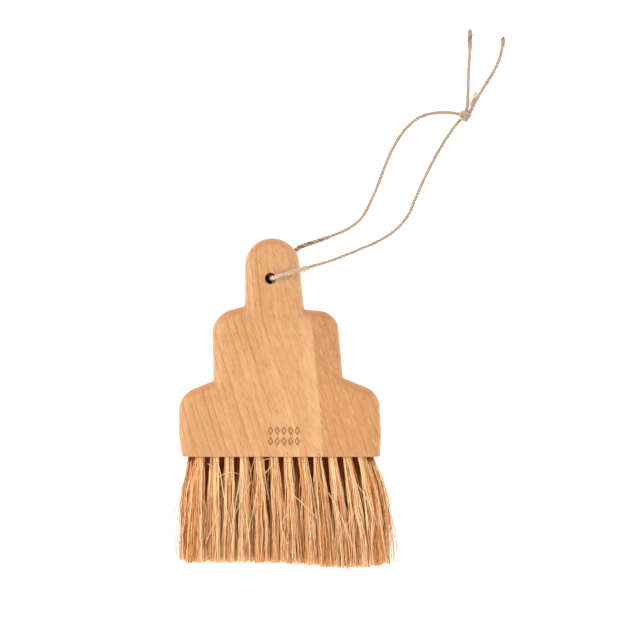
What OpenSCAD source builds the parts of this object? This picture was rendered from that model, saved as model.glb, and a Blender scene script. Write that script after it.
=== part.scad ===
// Palm brush: a stepped wooden handle block with three rows of fibre tufts and a hanging loop of twine.
// It lies on its back with the front face up (+Z), the knob towards +Y and the bristles towards -Y.
// The origin is under the centre of the block and bristles, on the surface that they lie on.

/* [Handle block] */
// Thickness of the block, front face to back face
block_t = 22; // [20:0.5:28]
// Height of the block, bristle face to the top of the knob
block_h = 125.2; // [118:0.2:135]
// Width of the round knob
knob_w = 31.4; // [29:0.2:36]
// Sideways place of the knob's centre
knob_x = -8.1; // [-12:0.1:-4]
// How far the knob's right side leans out towards its foot
knob_lean = 3.9; // [0:0.1:5]
// Left edge of the middle step, from the centre line
waist_left = 42.9; // [38:0.1:46]
// Right edge of the middle step, from the centre line
waist_right = 29; // [26:0.1:34]
// How far the middle step's right side leans out towards its foot
waist_lean = 3.4; // [0:0.1:5]
// Height of the middle step's shoulders above the bristle face
waist_h = 82; // [76:0.2:86]
// Corner radius of the middle step's left shoulder
waist_round_left = 14; // [8:0.5:14]
// Corner radius of the middle step's right shoulder
waist_round_right = 11; // [8:0.5:13]
// Left edge of the bottom step, from the centre line
foot_left = 61.7; // [59.5:0.1:66]
// Right edge of the bottom step, from the centre line
foot_right = 54.4; // [52.5:0.1:60]
// Height of the bottom step's shoulders above the bristle face
foot_h = 36; // [32:0.2:42]
// How far a bottom shoulder climbs to the middle step
foot_rise = 8.2; // [4:0.2:12]
// Corner radius of the bottom step's left shoulder
foot_round_left = 12.5; // [8:0.5:14]
// Corner radius of the bottom step's right shoulder
foot_round_right = 11.5; // [8:0.5:14]
// Radius of the soft rounding along the front and back edges
edge_round = 6.5; // [3:0.5:7.5]
// Radius in the corners between the steps
inner_round = 2; // [1:0.5:4]

/* [Hanging hole] */
// Bore of the hanging hole
hole_d = 5.4; // [5.4:0.1:7]
// Sideways place of the hole
hole_x = -9; // [-10:0.1:-7]
// Distance from the top of the knob to the hole's centre
hole_drop = 23.3; // [20:0.1:26]
// Chamfer round both mouths of the hole
hole_chamfer = 1; // [1:0.1:1.6]

/* [Bristles] */
// Length of the longest bristles outside the block
bristle_l = 64; // [50:0.2:80]
// How much shorter the bristles are trimmed away from their longest place
trim_rise = 3; // [0:0.2:5]
// Sideways place of the longest bristles' tips
trim_peak = 35; // [20:1:50]
// Sideways reach of the longer bristles to either side of that place
trim_width = 22; // [15:1:40]
// Tufts in the front row and in the back row; the middle row has one more, set half a pitch over
tuft_count = 12; // [8:1:12]
// Distance between tufts in a row
tuft_pitch = 8.4; // [7.8:0.1:8.6]
// Distance between the rows
row_pitch = 6.4; // [6:0.1:6.8]
// Sideways place of the middle of the rows
field_x = -3.2; // [-4:0.1:-2]
// Bore of a tuft's hole
tuft_hole_d = 5.2; // [4.6:0.1:5.6]
// Depth of a tuft's hole
tuft_hole_depth = 13; // [10:0.5:18]
// How much wider the row of bristles is at the tips than at the block
fan = 1.14; // [1.05:0.01:1.24]
// How soon the bristles spread: 1 spreads them evenly, and more spreads them sooner
flare = 2.2; // [1:0.1:3]
// Strands in a tuft
strand_count = 11; // [8:1:11]
// Radius of a strand at the block
strand_root_r = 0.4; // [0.25:0.05:0.45]
// Radius of a strand at its tip
strand_tip_r = 0.7; // [0.4:0.05:0.9]
// How far a tuft spreads from its own middle at the tips
tip_spread = 4.2; // [3.4:0.1:4.2]

/* [Tuft anchors] */
// Length of the flat wire across a tuft's hole
anchor_l = 6.6; // [6.2:0.1:7]
// Width of the flat wire, along the hole
anchor_w = 2; // [1.5:0.1:3]
// Thickness of the flat wire
anchor_t = 0.5; // [0.3:0.1:0.8]

/* [Twine] */
// Diameter of the twine
twine_d = 1.9; // [1.6:0.1:1.9]
// Diameter of the knot
knot_d = 6; // [5:0.2:7]
// Length of the knot
knot_l = 6; // [5:0.2:8]

/* [Hidden] */

function tuft_names(stem, count) = [for (i = [1 : count]) str(stem, i)];

// Running gap between pieces that lie or slide past each other.
gap = 0.3;
// Gap round a piece that is pressed into the wood.
seat_gap = 0.05;
// Longer than anything here, for shapes that cut right through.
far = 50;

// Heights: the block is propped up on the twine's back leg, and the bristles flare down to the surface.
lift = 0.1;
block_z0 = twine_d + gap + lift;
block_z1 = block_z0 + block_t;
block_mid = (block_z0 + block_z1) / 2;

// Lengths: the origin is half way between the top of the knob and the bristle tips.
knob_top = (block_h + bristle_l) / 2;
face_y = knob_top - block_h;
hole_y = knob_top - hole_drop;

// The hand-shaped outline is a little uneven: each pair of shoulders is higher on the right, and the sides
// are drawn in at the bristle face, under the shoulders and at the waist.
shoulder_skew = 0.7;
face_draw_left = 1.9;
face_draw_right = 0.6;
shoulder_draw = 1.2;
waist_draw = 1.1;
knob_draw = 1.4;

// Widest place of the bottom step, above the bristle face, and the radius of its sides there.
bulge_h = 13;
bulge_round = 20;

// How far the knob's foot stands above the middle step's shoulders, left and right.
knob_foot_left = 4.2;
knob_foot_right = 2.2;

// Outline of the block from the right foot over the knob to the left foot: corner x, y and radius.
// Its first and last corners are sharp, and the crisp bristle face runs between them.
foot_y = face_y + foot_h;
waist_y = face_y + waist_h;
bulge_y = face_y + bulge_h;
knob_left = knob_x - knob_w / 2;
knob_right = knob_x + knob_w / 2 - knob_draw;
outline = [
    [foot_right - face_draw_right, face_y, 0],
    [foot_right, bulge_y, bulge_round],
    [foot_right - shoulder_draw, foot_y + shoulder_skew, foot_round_right],
    [waist_right + waist_lean, foot_y + shoulder_skew + foot_rise, inner_round],
    [waist_right, waist_y + shoulder_skew, waist_round_right],
    [knob_right + knob_lean, waist_y + knob_foot_right, inner_round],
    [knob_right, knob_top, knob_w / 2],
    [knob_left, knob_top, knob_w / 2],
    [knob_left, waist_y + knob_foot_left, inner_round],
    [-waist_left, waist_y - shoulder_skew, waist_round_left],
    [-waist_left + waist_draw, foot_y - shoulder_skew + foot_rise, inner_round],
    [-foot_left, foot_y - shoulder_skew, foot_round_left],
    [-foot_left, bulge_y, bulge_round],
    [-foot_left + face_draw_left, face_y, 0]
];

// Tuft rows, as x along a row of the given count.
function row_x(i, count) = field_x + (i - (count + 1) / 2) * tuft_pitch;
row_z = [block_mid + row_pitch, block_mid, block_mid - row_pitch];
hole_bottom = face_y + tuft_hole_depth;
plug_r = tuft_hole_d / 2 - seat_gap;
plug_l = tuft_hole_depth - anchor_w;

// The back row flares until its strands reach the surface, where they are cut flat this deep.
stand_cut = 0.5;
tip_back_z = tip_spread + strand_tip_r - stand_cut;
fan_z = (block_mid - tip_back_z) / row_pitch;

// Sideways place of the middle of the tips.
tips_x = 0;

// Strands start this far inside their plug, as a share of their length, and stay this far from its rim.
strand_start = 0.02;
strand_margin = 0.15;

// Neighbouring strands differ in length by this share.
uneven_tips = 0.03;

// Route of each stretch of twine, chosen by hand. A leg runs from the knot to the middle of the hole.
front_leg = [
    [101.4, 164.5, 2], [97.2, 159.7, 1.2], [93.4, 154.3, 1], [90, 148.9, 1], [87, 143.7, 1],
    [84, 138.3, 1], [81.3, 132.9, 1], [78.8, 127.7, 1], [76.4, 122.2, 1], [73.9, 116.5, 1],
    [71.6, 110.7, 1], [68.2, 105.4, 1], [64.2, 100.8, 1.1], [59.4, 97, 2], [54.1, 93.8, 4],
    [48.8, 91.1, 7], [43.4, 88.9, 10.6], [38.2, 86.5, 14.5], [32.8, 84.3, 18.3], [27.4, 82.2, 21.6],
    [21.8, 80.3, 24], [16, 78.6, 25.3], [10.2, 76.9, 25.6], [4.4, 75.2, 25.6], [-1.3, 73.5, 25.7],
    [-4.5, 72.6, 25.8], [-6.6, 72, 25.2], [-8.1, 71.6, 23.6], [-8.7, 71.4, 21.4],
    [-8.9, 71.3, 18.6], [-9, 71.3, 16], [-9, 71.3, 13.3]
];
back_leg = [
    [101.2, 166.7, 2], [97, 167.4, 1.2], [92, 167.8, 1], [86.5, 167.6, 1], [81, 166.6, 1],
    [75.7, 164.3, 1], [71, 160.6, 1], [66.9, 155.9, 1], [63.5, 150.7, 1], [60.6, 145.3, 1],
    [58.1, 139.8, 1], [55.9, 134.2, 1], [53.8, 128.6, 1], [51.6, 123, 1], [49.2, 117.5, 1],
    [46.6, 112.1, 1], [43.4, 106.9, 1], [38.9, 102.7, 1], [33.8, 99.6, 1], [28.5, 97.3, 1],
    [23.2, 95.3, 1], [17.8, 93.3, 1], [12.2, 91.6, 1], [6.9, 89.3, 1], [2.4, 85.3, 1],
    [-1.2, 81.1, 1], [-4.2, 77.2, 1], [-6.6, 74.2, 1], [-7.9, 72.6, 1.6], [-8.8, 71.6, 3.2],
    [-9.1, 71.3, 5.4], [-9.1, 71.3, 8], [-9, 71.3, 10.8], [-9, 71.3, 13.3]
];
tail_long = [
    [103.6, 168.1, 2], [104.7, 172.3, 1.2], [104.9, 178.3, 1], [105.1, 184.7, 1],
    [105.4, 191.3, 1], [105.7, 197.7, 1], [106, 204.3, 1], [106.1, 210.3, 1], [106.2, 215.5, 1]
];
tail_short = [
    [105.8, 167.7, 2], [108.3, 172.3, 1.2], [111.4, 177.7, 1], [114.6, 183.1, 1],
    [118, 188.5, 1], [121.2, 193.9, 1], [123.4, 199.5, 1], [124.8, 205.3, 1], [125.7, 211, 1]
];
knot_at = [103.4, 166.2];
knot_turn = 55;

// Rounding of the knot's ends, as a share of its radius, and its height off the surface.
knot_soft = 0.55;
knot_lift = 0.05;

// Sides of a stretch of twine.
twine_sides = 8;

// Vector along v with length 1.
function unit(v) = v / norm(v);

// Direction of a route at its point i, square across the bend.
function along(route, i) =
    unit(route[min(i + 1, len(route) - 1)] - route[max(i - 1, 0)]);

// Side vector carried from ring to ring with no twist, square to each direction in turn.
function carried(route) = [
    for (i = 0, u = [0, 0, 1] - along(route, 0) * along(route, 0).z; i < len(route);
        i = i + 1,
        u = i < len(route) ? u - along(route, i) * (u * along(route, i)) : u)
    unit(u)
];

// Rings of a tube with flats facing down where it lies on the surface.
function tube_rings(route, r, sides) =
    let (up = carried(route), reach = r / cos(180 / sides))
    [for (i = [0 : len(route) - 1])
        let (side = cross(along(route, i), up[i]))
        [for (k = [0 : sides - 1])
            let (a = 360 * (k + 0.5) / sides)
            route[i] + reach * (cos(a) * up[i] + sin(a) * side)]];

// Arc points of one rounded corner of the outline, moved inwards by inset.
function corner_arc(before, corner, after, inset, steps) =
    let (
        a = unit([before.x - corner.x, before.y - corner.y]),
        b = unit([after.x - corner.x, after.y - corner.y]),
        turn = cross(a, b) < 0 ? 1 : -1,
        half = acos(a * b) / 2,
        mid = [corner.x, corner.y] + unit(a + b) * corner[2] / sin(half),
        r = corner[2] - turn * inset,
        start = atan2(a.x, -a.y) + (turn > 0 ? 0 : 180)
    )
    [for (k = [0 : steps])
        let (angle = start + turn * (180 - 2 * half) * k / steps)
        mid + r * [cos(angle), sin(angle)]];

// Steps of an arc of the given radius: a wide arc has more.
function arc_steps(radius) = radius > edge_round ? 7 : 3;

// Sharp corner on the bristle face, moved along it by as much as its side moves inwards.
function foot_corner(corner, after, inset) =
    let (side = [after.x - corner.x, after.y - corner.y])
    [corner.x - sign(corner.x) * inset * norm(side) / side.y, corner.y];

// The whole outline moved inwards by inset, but for the bristle face.
function inset_outline(inset) =
    let (last = len(outline) - 1)
    [
        foot_corner(outline[0], outline[1], inset),
        for (i = [1 : last - 1])
            each corner_arc(outline[i - 1], outline[i], outline[i + 1], inset, arc_steps(outline[i][2])),
        foot_corner(outline[last], outline[last - 1], inset)
    ];

// Rings up the block, with the soft rounding along its back and front edges.
round_steps = 5;
block_rings = concat(
    [for (k = [0 : round_steps])
        let (a = 90 * k / round_steps)
        raised(inset_outline(edge_round * (1 - sin(a))), block_z0 + edge_round * (1 - cos(a)))],
    [for (k = [0 : round_steps])
        let (a = 90 * (1 - k / round_steps))
        raised(inset_outline(edge_round * (1 - sin(a))), block_z1 - edge_round * (1 - cos(a)))]
);
function raised(points, z) = [for (p = points) [p.x, p.y, z]];

// Closed solid through rings of equal count, anticlockwise as seen from the last ring.
module loft(rings) {
    n = len(rings[0]);
    last = (len(rings) - 1) * n;
    polyhedron(
        points = [for (ring = rings) each ring],
        faces = concat(
            [[for (k = [0 : n - 1]) k]],
            [for (i = [0 : len(rings) - 2], k = [0 : n - 1])
                [i * n + k, (i + 1) * n + k, (i + 1) * n + (k + 1) % n]],
            [for (i = [0 : len(rings) - 2], k = [0 : n - 1])
                [i * n + k, (i + 1) * n + (k + 1) % n, i * n + (k + 1) % n]],
            [[for (k = [n - 1 : -1 : 0]) last + k]]
        )
    );
}

// Runs its children at every tuft's place on the bristle face.
module each_tuft() {
    for (row = [0 : 2]) {
        count = row == 1 ? tuft_count + 1 : tuft_count;
        for (i = [1 : count]) translate([row_x(i, count), face_y, row_z[row]]) children();
    }
}

// Stepped wooden block, drilled for the tufts and for the twine.
module handle_block() {
    color("burlywood") difference() {
        loft(block_rings);
        hanging_hole();
        each_tuft() tuft_hole();
    }
}

// The hanging hole's bore and the chamfer at each mouth.
module hanging_hole() {
    translate([hole_x, hole_y, block_mid]) cylinder(h = block_t + far, d = hole_d, center = true, $fn = 32);
    for (side = [-1, 1]) translate([hole_x, hole_y, block_mid]) mirror([0, 0, side < 0 ? 1 : 0])
        translate([0, 0, block_t / 2 - hole_chamfer]) cylinder(
            h = hole_chamfer * 2, d1 = hole_d, d2 = hole_d + 4 * hole_chamfer, $fn = 32);
}

// Blind hole of one tuft, with the slot that its flat wire is pressed into.
module tuft_hole() {
    translate([0, tuft_hole_depth, 0]) rotate([90, 0, 0])
        cylinder(h = tuft_hole_depth + far, d = tuft_hole_d, $fn = 24);
    anchor_bar(seat_gap);
}

// Flat wire across the bottom of a tuft's hole, grown by margin all round but at its seat.
module anchor_bar(margin) {
    translate([-anchor_l / 2 - margin, tuft_hole_depth - anchor_w - margin, -anchor_t / 2 - margin])
        cube([anchor_l + 2 * margin, anchor_w + margin, anchor_t + 2 * margin]);
}

// The flat wires that hold the folded tufts down in their holes, one to a tuft.
module tuft_anchors() {
    color("silver") each_tuft() anchor_bar(0);
}

// Strand k of a tuft: where it starts on a disc of radius 1, spread evenly round the middle.
function strand_place(k) =
    let (angle = 137.5 * (strand_count - 1 - k) - 90)
    sqrt((k + 0.5) / strand_count) * [cos(angle), sin(angle)];

// How far a strand has spread at a share of its length: soon at first, and hardly at its tip.
function spread_at(t) = 1 - pow(1 - max(t, 0), flare);

// Sideways place of a tuft's tip.
function tip_x(x) = tips_x + fan * (x - field_x);

// Length of a tuft's longest strands.
function trimmed(x) = bristle_l - trim_rise * (1 - exp(-pow((tip_x(x) - trim_peak) / trim_width, 2)));

// A tuft: the bound plug in its hole and the strands that spread from it, which never cross.
module tuft(x, z) {
    tip = [tip_x(x), block_mid + fan_z * (z - block_mid)];
    root_spread = plug_r - strand_root_r - strand_margin;
    color("peru") difference() {
        union() {
            translate([x, face_y + plug_l, z]) rotate([90, 0, 0]) cylinder(h = plug_l, r = plug_r, $fn = 8);
            for (k = [0 : strand_count - 1]) loft([
                for (t = [-strand_start, 0.5, 1])
                    let (
                        out = spread_at(t),
                        middle = [x, z] * (1 - out) + tip * out,
                        spread = root_spread * (1 - out) + (tip_spread - strand_tip_r) * out,
                        r = strand_root_r * (1 - t) + strand_tip_r * t,
                        at = middle + spread * strand_place(k),
                        reach = trimmed(x) * (1 - uneven_tips * (k % 3)) * t
                    )
                    [for (a = [-90, 30, 150]) [at.x + r * cos(a), face_y - reach, at.y + r * sin(a)]]
            ]);
        }
        translate([x, face_y - bristle_l / 2, -far / 2]) cube([2 * far, bristle_l + far, far], center = true);
    }
}

module tuft_front(i) {
    tuft(row_x(i, tuft_count), row_z[0]);
}

module tuft_middle(i) {
    tuft(row_x(i, tuft_count + 1), row_z[1]);
}

module tuft_back(i) {
    tuft(row_x(i, tuft_count), row_z[2]);
}

// A stretch of twine.
module twine(route) {
    color("tan") loft(tube_rings(route, twine_d / 2, twine_sides));
}

// The overhand knot that closes the loop, as the barrel that its turns fill.
module twine_knot() {
    r = knot_d / 2;
    soft = r * knot_soft;
    color("tan") translate([knot_at.x, knot_at.y, r + knot_lift]) rotate([0, 0, knot_turn]) rotate([0, 90, 0])
        rotate_extrude($fn = 32) polygon(concat(
            [[0, -knot_l / 2]],
            [for (a = [-90 : 22.5 : 0]) [r - soft + soft * cos(a), -knot_l / 2 + soft + soft * sin(a)]],
            [for (a = [0 : 22.5 : 90]) [r - soft + soft * cos(a), knot_l / 2 - soft + soft * sin(a)]],
            [[0, knot_l / 2]]
        ));
}

handle_block();
tuft_anchors();
for (i = [1 : tuft_count]) tuft_front(i);
for (i = [1 : tuft_count + 1]) tuft_middle(i);
for (i = [1 : tuft_count]) tuft_back(i);
twine(front_leg);  // twine_front_leg
twine(back_leg);  // twine_back_leg
twine_knot();
twine(tail_long);  // twine_tail_long
twine(tail_short);  // twine_tail_short
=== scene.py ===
"""Palm brush: a stepped beech block with three rows of palm fibre tufts and a hanging loop of jute twine.

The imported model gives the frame, in metres: +X to the right, +Y towards the knob, and +Z up from the surface
that the brush lies on. Each piece made here stands in that frame, rides on one of its bodies and takes the
place of the plain solids that it names.
"""

from __future__ import annotations

import logging
import math
from dataclasses import dataclass, field
from enum import Enum
from typing import Callable, Iterator, NamedTuple, Optional, Sequence, Union

import bmesh
import bpy
import numpy as np
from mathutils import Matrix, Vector

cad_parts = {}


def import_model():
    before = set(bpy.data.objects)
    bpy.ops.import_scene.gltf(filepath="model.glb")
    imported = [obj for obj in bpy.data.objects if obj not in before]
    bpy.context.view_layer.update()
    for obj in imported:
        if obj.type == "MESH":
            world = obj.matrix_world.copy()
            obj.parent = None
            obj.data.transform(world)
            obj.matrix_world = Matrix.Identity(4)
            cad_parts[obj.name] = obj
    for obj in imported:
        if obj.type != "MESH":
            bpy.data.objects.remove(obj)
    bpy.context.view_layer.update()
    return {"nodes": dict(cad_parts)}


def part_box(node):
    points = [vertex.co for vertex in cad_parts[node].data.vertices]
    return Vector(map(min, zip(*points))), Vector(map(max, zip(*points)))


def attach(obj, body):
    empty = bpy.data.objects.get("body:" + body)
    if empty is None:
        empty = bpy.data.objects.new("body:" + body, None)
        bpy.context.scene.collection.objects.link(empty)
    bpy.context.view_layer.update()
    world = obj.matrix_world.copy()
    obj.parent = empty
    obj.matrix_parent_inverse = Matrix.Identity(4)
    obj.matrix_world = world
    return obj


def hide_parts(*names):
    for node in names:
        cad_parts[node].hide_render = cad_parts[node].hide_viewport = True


Colour = tuple[float, float, float]
Number = Union[float, "Signal"]
Tint = Union[Colour, "Signal"]
Point = tuple[float, float, float]

# How far apart two places may be and still count as one.
SLACK = 0.00002

log = logging.getLogger("palm_brush")


class Body(Enum):
    """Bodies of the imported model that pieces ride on."""

    BRUSH = "brush"
    LOOP = "hanging_loop"


class Slot(Enum):
    """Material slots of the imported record."""

    WOOD = "wood"
    FIBRE = "palm_fibre"
    TWINE = "twine"


class Row(Enum):
    """Rows of tufts, by the stem of their nodes' names and their step up or down from the middle."""

    FRONT = ("tuft_front_", 1)
    MIDDLE = ("tuft_middle_", 0)
    BACK = ("tuft_back_", -1)


class Signal:
    """One output of a shader node, on which Python's operators add Math nodes."""

    def __init__(self, bench: "Bench", socket: bpy.types.NodeSocket) -> None:
        """Wraps a socket.

        Args:
            bench: The bench whose node table holds the socket.
            socket: The output socket.
        """
        self.bench = bench
        self.socket = socket

    def sibling(self, name: str) -> "Signal":
        """Another output of the same node, by its name."""
        return Signal(self.bench, self.socket.node.outputs[name])

    def math(self, operation: str, *values: Number) -> "Signal":
        """Result of a Math node.

        Args:
            operation: The node's operation.
            values: Its inputs, in order.

        Returns:
            The node's output.
        """
        return self.bench.node("ShaderNodeMath", dict(enumerate(values)), operation=operation)

    def __add__(self, other: Number) -> "Signal":
        """Sum."""
        return self.math("ADD", self, other)

    __radd__ = __add__

    def __sub__(self, other: Number) -> "Signal":
        """Difference."""
        return self.math("SUBTRACT", self, other)

    def __rsub__(self, other: Number) -> "Signal":
        """Difference from a plain number."""
        return self.math("SUBTRACT", other, self)

    def __mul__(self, other: Number) -> "Signal":
        """Product."""
        return self.math("MULTIPLY", self, other)

    __rmul__ = __mul__

    def __truediv__(self, other: Number) -> "Signal":
        """Quotient."""
        return self.math("DIVIDE", self, other)

    def __pow__(self, other: Number) -> "Signal":
        """Power."""
        return self.math("POWER", self, other)

    def __gt__(self, other: Number) -> "Signal":
        """1 where greater, or else 0."""
        return self.math("GREATER_THAN", self, other)

    def __lt__(self, other: Number) -> "Signal":
        """1 where less, or else 0."""
        return self.math("LESS_THAN", self, other)

    def __abs__(self) -> "Signal":
        """Distance from 0."""
        return self.math("ABSOLUTE", self)


class Bench:
    """Node table of one finish."""

    def __init__(self, name: str) -> None:
        """Starts a material with a Principled shader.

        Args:
            name: The material's name.
        """
        self.material = bpy.data.materials.new(name)
        self.material.use_nodes = True
        self.tree = self.material.node_tree
        self.shader = self.tree.nodes["Principled BSDF"]

    def node(
        self,
        kind: str,
        sockets: Optional[dict] = None,
        output: Union[int, str] = 0,
        **settings: object,
    ) -> Signal:
        """Adds one node.

        Args:
            kind: The node's type.
            sockets: Values or links of its inputs, by name or place.
            output: Which of its outputs to give back.
            settings: Its own settings, set before its inputs.

        Returns:
            The chosen output.
        """
        made = self.tree.nodes.new(kind)
        for name, value in settings.items():
            setattr(made, name, value)
        for key, value in (sockets or {}).items():
            self.feed(made.inputs[key], value)
        return Signal(self, made.outputs[output])

    def feed(self, socket: bpy.types.NodeSocket, value: Union[Number, Tint]) -> None:
        """Links a signal to a socket, or sets its value.

        Args:
            socket: The input socket.
            value: The signal, number or colour.
        """
        if isinstance(value, Signal):
            self.tree.links.new(value.socket, socket)
        elif socket.type == "RGBA":
            socket.default_value = (*value, 1.0)
        else:
            socket.default_value = value

    def place(self) -> Signal:
        """Object coordinates."""
        return self.node("ShaderNodeTexCoord", output="Object")

    def split(self, vector: Signal) -> tuple[Signal, Signal, Signal]:
        """The three parts of a vector."""
        x = self.node("ShaderNodeSeparateXYZ", {0: vector})
        return x, x.sibling("Y"), x.sibling("Z")

    def join(self, x: Number, y: Number, z: Number) -> Signal:
        """A vector from its three parts."""
        return self.node("ShaderNodeCombineXYZ", {0: x, 1: y, 2: z})

    def noise(self, vector: Signal, scale: float, detail: float = 2.0, rough: float = 0.5) -> Signal:
        """Soft noise, from 0 to 1.

        Args:
            vector: Where it is read.
            scale: Blotches to a unit of the vector.
            detail: Finer layers.
            rough: How strong the finer layers are.

        Returns:
            The noise.
        """
        sockets = {"Vector": vector, "Scale": scale, "Detail": detail, "Roughness": rough}
        return self.node("ShaderNodeTexNoise", sockets)

    def step(self, value: Signal, low: float, high: float) -> Signal:
        """Smooth step from 0 at low to 1 at high."""
        sockets = {"Value": value, "From Min": low, "From Max": high}
        return self.node("ShaderNodeMapRange", sockets, interpolation_type="SMOOTHSTEP")

    def near(self, vector: Signal, spot: Point, inner: float, outer: float) -> Signal:
        """1 within inner of a spot, falling to 0 at outer.

        Args:
            vector: Where it is read.
            spot: The spot's place.
            inner: Where it starts to fall.
            outer: Where it ends.

        Returns:
            The mask.
        """
        sockets = {0: vector, 1: spot}
        away = self.node("ShaderNodeVectorMath", sockets, output="Value", operation="DISTANCE")
        return 1 - self.step(away, inner, outer)

    def mix(self, first: Tint, second: Tint, factor: Number, blend: str = "MIX") -> Signal:
        """Mixes two colours.

        Args:
            first: The colour at factor 0.
            second: The colour at factor 1.
            factor: The share of the second colour.
            blend: The blend mode.

        Returns:
            The mixed colour.
        """
        sockets = {0: factor, 6: first, 7: second}
        return self.node("ShaderNodeMix", sockets, output=2, data_type="RGBA", blend_type=blend)

    def finish(
        self,
        colour: Tint,
        roughness: Number,
        height: Optional[Signal] = None,
        depth: float = 0.0001,
        **constants: Union[Number, Tint],
    ) -> bpy.types.Material:
        """Feeds the shader.

        Args:
            colour: The base colour.
            roughness: The roughness.
            height: Height for a bump, from 0 to 1.
            depth: Depth of that bump in metres.
            constants: Other inputs of the shader, with underscores for spaces.

        Returns:
            The finished material.
        """
        self.feed(self.shader.inputs["Base Color"], colour)
        self.feed(self.shader.inputs["Roughness"], roughness)
        for name, value in constants.items():
            self.feed(self.shader.inputs[name.replace("_", " ")], value)
        if height is not None:
            bump = self.node("ShaderNodeBump", {"Height": height, "Distance": depth})
            self.feed(self.shader.inputs["Normal"], bump)
        return self.material


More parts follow.
